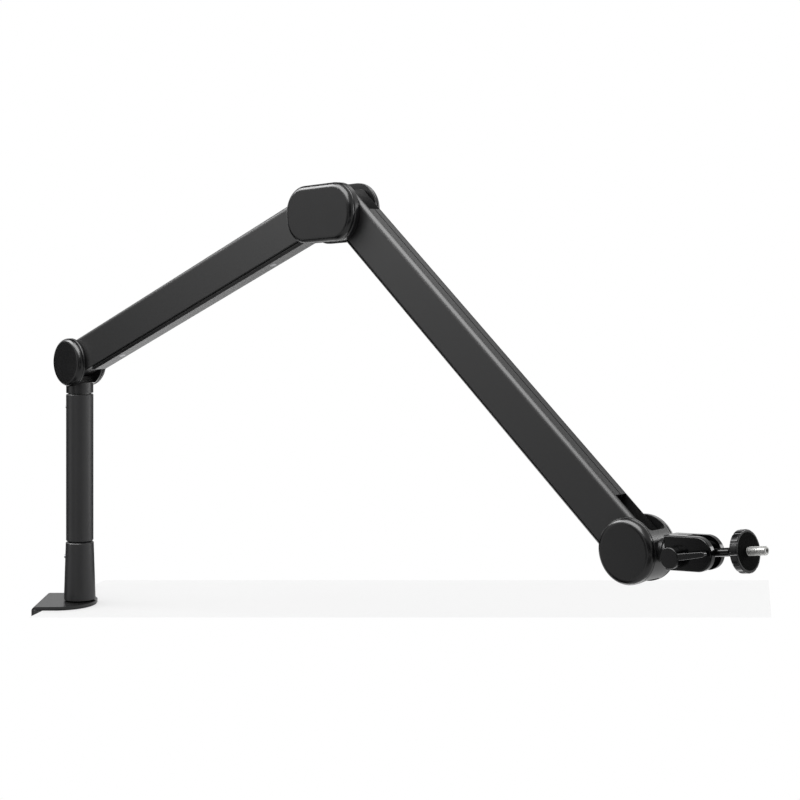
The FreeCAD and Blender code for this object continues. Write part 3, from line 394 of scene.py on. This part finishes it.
def threaded_rod(outline, pitch, depth):
    """A threaded rod along X, turned down to its outline, and the face at its tip.

    One side of the thread is spun round the axis with a rise of one pitch, cut square at both ends and
    then pressed in wherever the outline is lower than the thread.
    """
    shape = bmesh.new()
    first, last = outline[0][0], outline[-1][0]
    crest = max(radius for place, radius in outline)
    steps, spare_turns = 48, 2
    weld, level = pitch * 0.001, pitch * 0.01
    root_share, flank_share = 0.14, 0.43
    section = ((0, depth), (root_share, depth), (flank_share, 0), (1 - flank_share, 0),
               (1 - root_share, depth))
    line = []
    for turn in range(-spare_turns, math.ceil((last - first) / pitch) + 1):
        for share, drop in section:
            line.append(shape.verts.new((first + (turn + share) * pitch, 0, crest - drop)))
    edges = [shape.edges.new(pair) for pair in zip(line, line[1:])]
    bmesh.ops.spin(shape, geom=line + edges, cent=(0, 0, 0), axis=(1, 0, 0), dvec=(pitch / steps, 0, 0),
                   angle=math.tau, steps=steps, use_merge=False)
    bmesh.ops.remove_doubles(shape, verts=shape.verts, dist=weld)
    for place, radius in outline[1:-1]:
        bmesh.ops.bisect_plane(shape, geom=everything(shape), plane_co=(place, 0, 0), plane_no=(1, 0, 0))
    for place, side in ((first, -1), (last, 1)):
        bmesh.ops.bisect_plane(shape, geom=everything(shape), plane_co=(place, 0, 0), plane_no=(side, 0, 0),
                               clear_outer=True)
    pressed, share_digits = {}, 5
    for vert in shape.verts:
        share = outline_radius(outline, vert.co.x) / math.hypot(vert.co.y, vert.co.z)
        if share < 1:
            pressed.setdefault(round(share, share_digits), []).append(vert)
    for share, verts in pressed.items():
        bmesh.ops.scale(shape, vec=(1, share, share), verts=verts)
    for place in (first, last):
        rim = [edge for edge in shape.edges if edge.is_boundary
               and all(abs(vert.co.x - place) < level for vert in edge.verts)]
        tip = bmesh.ops.contextual_create(shape, geom=rim)["faces"][0]
    bmesh.ops.recalc_face_normals(shape, faces=shape.faces)
    return shape, tip


def sink_dimple(shape, tip, rim, depth):
    """Sink a round dimple into the end of a rod along X, leaving a rim this wide."""
    bmesh.ops.inset_region(shape, faces=[tip], thickness=rim, use_even_offset=True)
    floor = bmesh.ops.extrude_discrete_faces(shape, faces=[tip])["faces"][0]
    bmesh.ops.translate(shape, vec=(-depth, 0, 0), verts=floor.verts)


def rod_piece(name, shape, point, axis, material):
    """Carry a rod drawn along X to its axis and make it an object, smooth but for its sharp edges."""
    sharp = math.radians(20)
    turn = axis.to_track_quat("X", "Z").to_matrix().to_4x4()
    bmesh.ops.transform(shape, matrix=Matrix.Translation(point) @ turn, verts=shape.verts)
    for face in shape.faces:
        face.smooth = True
    for edge in shape.edges:
        edge.smooth = edge.calc_face_angle(0) < sharp
    mesh = bpy.data.meshes.new(name)
    shape.to_mesh(mesh)
    shape.free()
    mesh.materials.append(material)
    piece = bpy.data.objects.new(name, mesh)
    bpy.context.scene.collection.objects.link(piece)
    return piece


class BOOM_OT_painted_metal(bpy.types.Operator):
    """Powder coat on the clamp, riser, yokes and elbow frame"""
    bl_idname = "boom.painted_metal"
    bl_label = "Painted metal"

    def execute(self, context):
        finishes = context.scene.boom_finishes
        satin = {"low": 0.34, "high": 0.44, "specular": 0.3}
        coat(("riser_tube",), powder_coated("satin_powder_coat", finishes.powder_coat, **satin))
        coat(("base_collar",), powder_coated("satin_collar_coat", finishes.powder_coat, **satin))
        # Painted shade: the faces of the collar's set-in foot get near-black paint for the shadow line under
        # the collar.
        self.paint_foot_shade(NODES["base_collar"].data, painted_foot_shade(finishes.foot_painted_shade))
        coat(("clamp_frame", "shoulder_yoke", "elbow_frame", "head_yoke"),
             powder_coated("black_powder_coat", finishes.black_coat, low=0.28, high=0.38, specular=0.4))
        return {"FINISHED"}

    def paint_foot_shade(self, collar, black):
        """Give the collar's faces below its widest rim the foot's painted shade, a near-black finish."""
        rim = max(collar.vertices, key=lambda vert: vert.co.xy.length).co.z
        rounding = 0.02 * MM
        collar.materials.append(black)
        for face in collar.polygons:
            if all(collar.vertices[corner].co.z <= rim + rounding for corner in face.vertices):
                face.material_index = 1


class BOOM_OT_arm_beams(bpy.types.Operator):
    """Powder coat on both arm beams"""
    bl_idname = "boom.arm_beams"
    bl_label = "Arm beams"

    def execute(self, context):
        finishes = context.scene.boom_finishes
        coat(("lower_arm_beam", "upper_arm_beam"),
             powder_coated("charcoal_powder_coat", finishes.arm_coat, low=0.36, high=0.46, specular=0.4))
        return {"FINISHED"}


class BOOM_OT_hinge_caps(bpy.types.Operator):
    """Moulded caps over shoulder, elbow and head"""
    bl_idname = "boom.hinge_caps"
    bl_label = "Hinge caps"

    def execute(self, context):
        places = ("shoulder_cap", "elbow_cap", "head_cap")
        names = [place + side for place in places for side in ("_near", "_far")]
        coat(names, moulded_cap_plastic(context.scene.boom_finishes.cap_plastic))
        return {"FINISHED"}


class BOOM_OT_cable_covers(bpy.types.Operator):
    """Extruded strips over the cable channels"""
    bl_idname = "boom.cable_covers"
    bl_label = "Cable covers"

    def execute(self, context):
        colour = context.scene.boom_finishes.cover_plastic
        for arm in ("lower_arm", "upper_arm"):
            coat((arm + "_cable_cover",), extruded_cover_plastic(colour, arm_axis(arm)))
        return {"FINISHED"}


class BOOM_OT_ball_mount(bpy.types.Operator):
    """Polished socket, ball and stem"""
    bl_idname = "boom.ball_mount"
    bl_label = "Ball mount"

    def execute(self, context):
        coat(("socket_jaws", "mount_ball", "ball_stem"),
             anodised_gloss(context.scene.boom_finishes.gloss_black))
        return {"FINISHED"}


class BOOM_OT_hand_controls(bpy.types.Operator):
    """Lock lever, lock wheel and clamp knob"""
    bl_idname = "boom.hand_controls"
    bl_label = "Hand controls"

    def execute(self, context):
        coat(("lock_lever", "lock_wheel", "clamp_knob"),
             moulded_knob_plastic(context.scene.boom_finishes.knob_plastic))
        return {"FINISHED"}


class BOOM_OT_mic_stud(bpy.types.Operator):
    """Threaded microphone stud of bright turned steel"""
    bl_idname = "boom.mic_stud"
    bl_label = "Microphone stud"

    def execute(self, context):
        sizes = context.scene.boom_threads
        radius, edge = sizes.stud_radius, sizes.stud_edge
        start, end = reach_along("mic_stud", BALL_CENTRE, STEM_AXIS)
        outline = [(start, radius), (end - edge, radius), (end, radius - edge)]
        shape, tip = threaded_rod(outline, sizes.stud_pitch, sizes.stud_depth)
        sink_dimple(shape, tip, radius - edge - sizes.dimple_radius, sizes.dimple_depth)
        steel = turned_steel("bright_turned_steel", context.scene.boom_finishes.bright_steel, STEM_AXIS,
                             low=0.36, high=0.46)
        coat(("mic_stud",), steel)
        stud = rod_piece("threaded_mic_stud", shape, BALL_CENTRE, STEM_AXIS, steel)
        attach(stud, "stem_and_stud")
        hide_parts("mic_stud")
        return {"FINISHED"}


class BOOM_OT_clamp_screw(bpy.types.Operator):
    """Threaded clamping screw with a plain neck in the pressure foot"""
    bl_idname = "boom.clamp_screw"
    bl_label = "Clamping screw"

    def execute(self, context):
        sizes = context.scene.boom_threads
        radius, neck = sizes.screw_radius, sizes.neck_radius
        start, end = reach_along("clamp_screw", SCREW_POINT, SCREW_AXIS)
        shoulder = reach_along("pressure_disc", SCREW_POINT, SCREW_AXIS)[0]
        outline = [(start, radius), (shoulder - sizes.screw_depth, radius), (shoulder, neck), (end, neck)]
        shape = threaded_rod(outline, sizes.screw_pitch, sizes.screw_depth)[0]
        steel = turned_steel("plated_screw_steel", context.scene.boom_finishes.plated_steel, SCREW_AXIS,
                             low=0.3, high=0.42)
        coat(("clamp_screw",), steel)
        screw = rod_piece("threaded_clamp_screw", shape, SCREW_POINT, SCREW_AXIS, steel)
        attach(screw, "screw_and_knob")
        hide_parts("clamp_screw")
        return {"FINISHED"}


class BOOM_OT_fasteners(bpy.types.Operator):
    """Plated pins, nuts and screws"""
    bl_idname = "boom.fasteners"
    bl_label = "Fasteners"

    def execute(self, context):
        plated = context.scene.boom_finishes.plated_steel
        pin_axis = Vector(JOINTS["shoulder_hinge"]["axis"])
        pin_ends = ("hinge_pin", "hinge_pins", "hinge_nut", "hinge_nuts")
        pins = [name for name in NODES if name.endswith(pin_ends)]
        coat(pins, turned_steel("plated_hinge_steel", plated, pin_axis, low=0.28, high=0.4))
        upright_starts = ("clamp_jaw_nut", "screw_retaining", "swivel_pin", "swivel_retaining",
                          "pressure_disc", "collar_", "tube_grub")
        upright = [name for name in NODES if name.startswith(upright_starts)]
        coat(upright, turned_steel("plated_upright_steel", plated, SCREW_AXIS, low=0.3, high=0.42))
        small = [name for name in NODES if name.endswith("block_screws")]
        small += ["socket_bolt", "socket_jaw_nut", "lock_lever_screw"]
        coat(small, turned_steel("plated_small_steel", plated, STEM_AXIS, low=0.3, high=0.42))
        return {"FINISHED"}


class BOOM_OT_inner_pieces(bpy.types.Operator):
    """Bushes, washers, hinge blocks and pads"""
    bl_idname = "boom.inner_pieces"
    bl_label = "Inner pieces and pads"

    def execute(self, context):
        finishes = context.scene.boom_finishes
        bearings = [name for name in NODES if name.endswith(("hinge_bushes", "friction_washers"))]
        coat(bearings + ["swivel_bush", "socket_neck_washer"], bearing_plastic(finishes.bearing_plastic))
        blocks = [name for name in NODES if name.endswith("hinge_blocks")]
        coat(blocks + ["riser_plug"], cast_aluminium(finishes.cast_metal))
        coat(("clamp_top_pad", "pressure_pad", "lock_wheel_facing"), pad_rubber(finishes.rubber))
        return {"FINISHED"}


class BOOM_OT_stage(bpy.types.Operator):
    """Camera, pale floor, white surround, softboxes and black flags"""
    bl_idname = "boom.stage"
    bl_label = "Stage"

    def execute(self, context):
        scene = context.scene
        stage = scene.boom_stage
        scene.view_settings.view_transform = "Standard"
        self.set_camera(scene, stage)
        self.set_world(scene, stage)
        self.set_lamps(scene)
        self.set_flags(scene)
        self.lay_floor(scene, stage)
        return {"FINISHED"}

    def set_camera(self, scene, stage):
        lens = bpy.data.cameras.new("camera")
        lens.sensor_width = SENSOR_WIDTH_MM
        lens.lens = stage.focal_length
        lens.shift_y = -stage.camera_drop
        lens.clip_start = 0.01
        camera = bpy.data.objects.new("camera", lens)
        camera.location = stage.camera_place
        camera.rotation_euler = (math.pi / 2, 0, 0)
        scene.collection.objects.link(camera)
        scene.camera = camera

    def shown_directly(self, tree):
        """1 for rays from the camera, off gloss and through glass, and 0 for rays that carry light."""
        path = add_node(tree, "ShaderNodeLightPath")
        seen = path.outputs["Is Camera Ray"]
        for ray in ("Is Glossy Ray", "Is Transmission Ray"):
            either = add_node(tree, "ShaderNodeMath", {0: seen, 1: path.outputs[ray]}, operation="MAXIMUM")
            seen = either.outputs[0]
        return seen

    def set_world(self, scene, stage):
        """White to the camera and in reflections, softer as light."""
        world = bpy.data.worlds.new("white_surround")
        world.use_nodes = True
        scene.world = world
        tree = world.node_tree
        tree.nodes.clear()
        soft = add_node(tree, "ShaderNodeBackground", {"Color": WHITE, "Strength": stage.surround_light})
        white = add_node(tree, "ShaderNodeBackground", {"Color": WHITE, "Strength": 1.0})
        both = add_node(tree, "ShaderNodeMixShader", {
            0: self.shown_directly(tree), 1: soft.outputs[0], 2: white.outputs[0]})
        add_node(tree, "ShaderNodeOutputWorld", {"Surface": both.outputs[0]})

    def set_lamps(self, scene):
        """Softboxes with their place, width, height and watts; all but the key only show as highlights."""
        target = Vector((0.3, -0.25, 0.25))
        lamps = (("key_softbox", (-1.15, 0.0, 1.3), 0.6, 0.5, 3, True),
                 ("left_softbox", (-1.09, 0.0, 1.23), 0.9, 0.8, 29, False),
                 ("front_softbox", (-0.29, -0.85, 1.42), 1.5, 1.3, 70, False),
                 ("rear_right_softbox", (0.8, 0.5, 1.35), 0.6, 0.5, 2, False),
                 ("right_softbox", (1.3, 0.25, 0.25), 0.5, 0.9, 4, False),
                 ("right_strip", (1.4, -0.35, 0.45), 0.3, 0.3, 3, False),
                 ("low_softbox", (0.5, 0.45, -1.0), 1.3, 0.9, 14, False),
                 ("rear_low_softbox", (0.2, 1.2, -0.6), 2.0, 0.5, 3, False))
        for name, place, width, height, power, lights in lamps:
            light = bpy.data.lights.new(name, "AREA")
            light.shape = "RECTANGLE"
            light.size = width
            light.size_y = height
            light.energy = power
            lamp = bpy.data.objects.new(name, light)
            lamp.location = place
            lamp.rotation_euler = (target - Vector(place)).to_track_quat("-Z", "Y").to_euler()
            lamp.visible_diffuse = lights
            scene.collection.objects.link(lamp)

    def set_flags(self, scene):
        """Black cards that only reflections see, so that a black object's edges stay dark."""
        # Black flock card: it gives back no light at all.
        black, _, shader, _ = start_material("black_flag_card")
        shader.inputs["Base Color"].default_value = BLACK
        shader.inputs["Specular IOR Level"].default_value = 0
        target = Vector((0.3, -0.25, 0.2))
        flags = (("rear_flag", (0.3, 1.2, -0.07), 3.6, 0.5),
                 ("rear_high_flag", (-0.02, 0.79, 1.47), 1.9, 1.0),
                 ("front_flag", (0.3, -2.6, 0.59), 2.8, 1.2),
                 ("front_low_flag", (0.3, -2.6, -0.7), 2.8, 0.7),
                 ("low_left_flag", (-0.75, 0.0, -0.85), 1.5, 1.4),
                 ("rear_left_flag", (-1.4, 0.55, 0.2), 1.0, 1.2),
                 ("front_left_flag", (-1.4, -1.4, 0.1), 1.0, 1.0))
        for name, place, width, height in flags:
            place = Vector(place)
            turn = (target - place).to_track_quat("Z", "Y").to_matrix().to_4x4()
            flag = self.sheet(scene, name, (width, height), Matrix.Translation(place) @ turn, black)
            flag.visible_camera = False
            flag.visible_diffuse = False
            flag.visible_transmission = False
            flag.visible_shadow = False

    def lay_floor(self, scene, stage):
        """A pale top that the clamp grips, and a white front below its near edge."""
        # Pale matt laminate: it takes the object's shadow, softened by its own even tone.
        pale, tree, shader, _ = start_material("pale_floor")
        shader.inputs["Base Color"].default_value = (*stage.floor_colour, 1)
        shader.inputs["Roughness"].default_value = 0.9
        share = add_node(tree, "ShaderNodeMath", {0: self.shown_directly(tree), 1: stage.floor_evenness},
                         operation="MULTIPLY")
        self.show_colour(tree, shader, share.outputs[0])
        below_pad = 0.4 * MM
        low, size = Vector(stage.floor_low), Vector(stage.floor_size)
        slant = Matrix.Identity(4)
        slant[0][1] = stage.floor_slant
        from_corner = Matrix.Translation((size.x / 2, size.y / 2, 0))
        self.sheet(scene, "floor", size, Matrix.Translation((*low, -below_pad)) @ slant @ from_corner, pale)

        # White paper front: it shows as plain white.
        white, tree, shader, _ = start_material("white_front")
        shader.inputs["Base Color"].default_value = WHITE
        self.show_colour(tree, shader, self.shown_directly(tree))
        front_width, front_height = 1.6, 0.4
        middle = (low.x + size.x / 2, low.y, -below_pad - front_height / 2)
        upright = Matrix.Translation(middle) @ Matrix.Rotation(math.pi / 2, 4, "X")
        self.sheet(scene, "floor_front", (front_width, front_height), upright, white)

    def show_colour(self, tree, shader, share):
        """Let this share of a sheet's own colour show, whatever light falls on it."""
        even = add_node(tree, "ShaderNodeEmission", {
            "Color": shader.inputs["Base Color"].default_value, "Strength": 1.0})
        both = add_node(tree, "ShaderNodeMixShader", {0: share, 1: shader.outputs[0], 2: even.outputs[0]})
        tree.links.new(both.outputs[0], tree.nodes["Material Output"].inputs["Surface"])

    def sheet(self, scene, name, size, place, material):
        """A flat sheet of the stage, which isn't part of the object."""
        shape = bmesh.new()
        bmesh.ops.create_grid(shape, x_segments=1, y_segments=1, size=0.5)
        bmesh.ops.scale(shape, vec=(*size, 1), verts=shape.verts)
        bmesh.ops.transform(shape, matrix=place, verts=shape.verts)
        mesh = bpy.data.meshes.new(name)
        shape.to_mesh(mesh)
        shape.free()
        mesh.materials.append(material)
        sheet = bpy.data.objects.new(name, mesh)
        scene.collection.objects.link(sheet)
        return sheet


OPERATORS = (BOOM_OT_painted_metal, BOOM_OT_arm_beams, BOOM_OT_hinge_caps, BOOM_OT_cable_covers,
             BOOM_OT_ball_mount, BOOM_OT_hand_controls, BOOM_OT_mic_stud, BOOM_OT_clamp_screw,
             BOOM_OT_fasteners, BOOM_OT_inner_pieces, BOOM_OT_stage)


class BOOM_PT_panel(bpy.types.Panel):
    """Lists the arm's finishing steps and their settings"""
    bl_idname = "BOOM_PT_panel"
    bl_label = "Boom arm"
    bl_space_type = "VIEW_3D"
    bl_region_type = "UI"
    bl_category = "Boom arm"

    def draw(self, context):
        for settings in (context.scene.boom_finishes, context.scene.boom_threads, context.scene.boom_stage):
            for name in settings.__annotations__:
                self.layout.prop(settings, name)
        for operator in OPERATORS:
            self.layout.operator(operator.bl_idname)


CLASSES = (BoomFinishes, BoomThreads, BoomStage, *OPERATORS, BOOM_PT_panel)


def register():
    for cls in CLASSES:
        bpy.utils.register_class(cls)
    bpy.types.Scene.boom_finishes = bpy.props.PointerProperty(type=BoomFinishes)
    bpy.types.Scene.boom_threads = bpy.props.PointerProperty(type=BoomThreads)
    bpy.types.Scene.boom_stage = bpy.props.PointerProperty(type=BoomStage)


def unregister():
    for name in ("boom_stage", "boom_threads", "boom_finishes"):
        delattr(bpy.types.Scene, name)
    for cls in reversed(CLASSES):
        bpy.utils.unregister_class(cls)


def main():
    register()
    bpy.ops.boom.painted_metal()
    bpy.ops.boom.arm_beams()
    bpy.ops.boom.hinge_caps()
    bpy.ops.boom.cable_covers()
    bpy.ops.boom.ball_mount()
    bpy.ops.boom.hand_controls()
    bpy.ops.boom.mic_stud()
    bpy.ops.boom.clamp_screw()
    bpy.ops.boom.fasteners()
    bpy.ops.boom.inner_pieces()
    bpy.ops.boom.stage()


if __name__ == "__main__":
    main()
